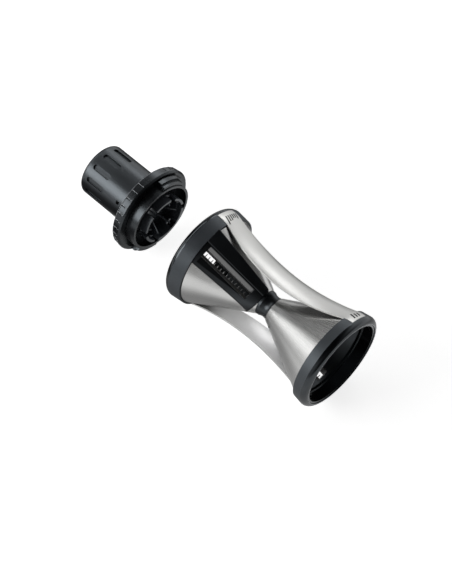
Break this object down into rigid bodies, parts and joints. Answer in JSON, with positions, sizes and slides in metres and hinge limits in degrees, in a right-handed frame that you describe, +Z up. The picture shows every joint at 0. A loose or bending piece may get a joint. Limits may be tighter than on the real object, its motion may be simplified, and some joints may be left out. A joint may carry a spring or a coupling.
{
  "type": "hand spiral slicer with turning food holder",
  "caption": "Hourglass vegetable spiral slicer: steel-clad funnels with blade slots joined by side strips, and a separate turning food holder.",
  "frame": {"origin": "on the ground under the middle of the whole length, between the two rims the slicer lies on", "axes": "+X from the holder through mouth A to mouth B, +Z up, +Y to the left seen along +X"},
  "size_m": [0.2514, 0.08, 0.0808],
  "materials": {
    "rim_black": "satin",
    "liner_gloss": "glossy",
    "moulded_black": "satin",
    "steel_sheet": "brushed",
    "guard_black": "matte",
    "blade_steel": "ground",
    "collar_gloss": "glossy",
    "strip_steel": "brushed",
    "holder_black": "satin",
    "glide_black": "satin",
    "knob_black": "satin",
    "core_black": "satin"
  },
  "bodies": {
    "slicer": {"rim_ring_a": "rim_black", "rim_ring_b": "rim_black", "mouth_liner_a": "liner_gloss", "mouth_liner_b": "liner_gloss", "funnel_a": "moulded_black", "funnel_b": "moulded_black", "cone_jacket_a": "steel_sheet", "cone_jacket_b": "steel_sheet", "blade_guard_a": "guard_black", "blade_guard_b": "guard_black", "slicing_blade_a": "blade_steel", "slicing_blade_b": "blade_steel", "julienne_comb_a": "blade_steel", "julienne_comb_b": "blade_steel", "neck_collar": "collar_gloss", "side_strip_upper": "strip_steel", "side_strip_lower": "strip_steel"},
    "collar": {"collar_ring": "holder_black", "collar_skirt": "holder_black", "glide_ring": "glide_black"},
    "grip": {"grip_knob": "knob_black", "grip_core": "core_black", "claw_crown": "core_black"}
  },
  "joints": [
    {"name": "holder_slide", "type": "slide", "parent": "slicer", "child": "collar", "axis": [1, 0, 0], "range_m": [-0.08, 0.0508]},
    {"name": "knob_spin", "type": "hinge", "parent": "collar", "child": "grip", "pos_m": [-0.069, 0, 0.04], "axis": [1, 0, 0], "continuous": true}
  ]
}
